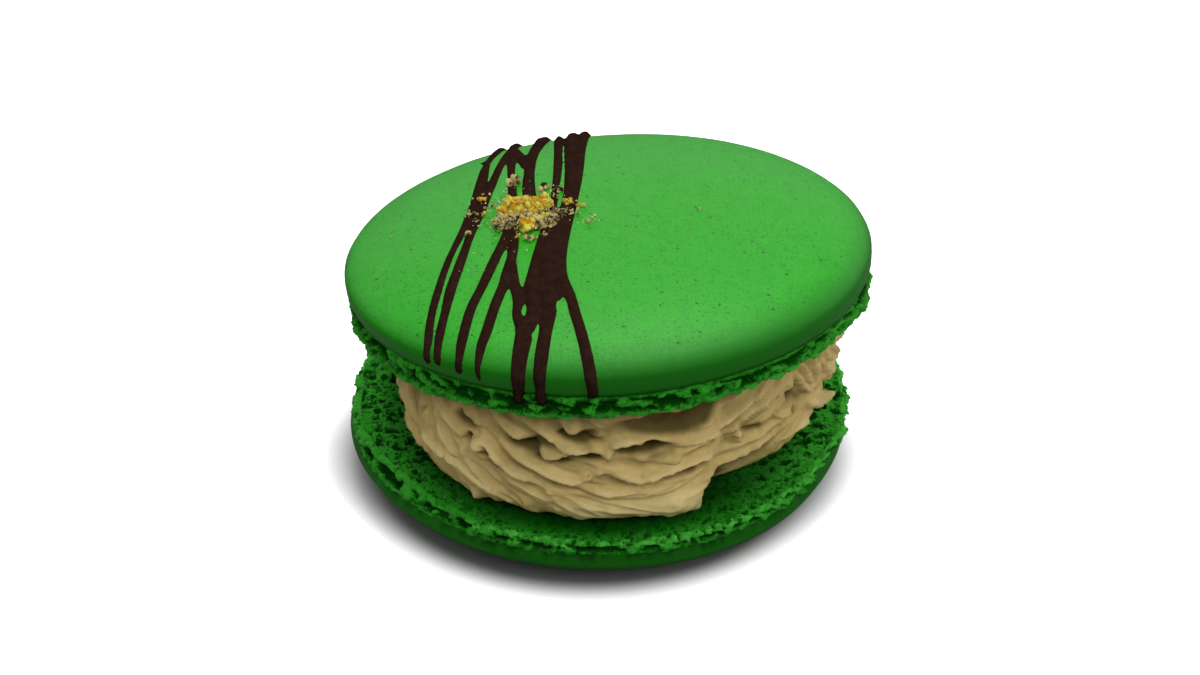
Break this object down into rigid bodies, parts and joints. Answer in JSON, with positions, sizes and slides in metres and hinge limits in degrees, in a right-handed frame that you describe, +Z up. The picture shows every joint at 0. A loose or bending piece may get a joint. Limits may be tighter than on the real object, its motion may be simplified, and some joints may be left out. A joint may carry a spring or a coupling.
{
  "type": "french macaron",
  "caption": "Large round macaron: two domed green almond shells with ruffled feet round a thick layer of folded beige cream.",
  "frame": {"origin": "centre of the small flat spot on the lower shell's dome that the macaron rests on", "axes": "+Z up through the stack; -Y is the front, the side with the thickest cream; +X is to its right"},
  "size_m": [0.0828, 0.0815, 0.0469],
  "materials": {
    "shell": "baked almond meringue: smooth matte cap, porous foot and face",
    "cream": "whipped nut cream, soft satin",
    "chocolate": "dark chocolate drizzle, satin",
    "crumbs": "dry crushed nut and biscuit crumbs"
  },
  "bodies": {
    "root": {"lower_shell": "shell", "cream_filling": "cream", "upper_shell": "shell"}
  },
  "joints": []
}
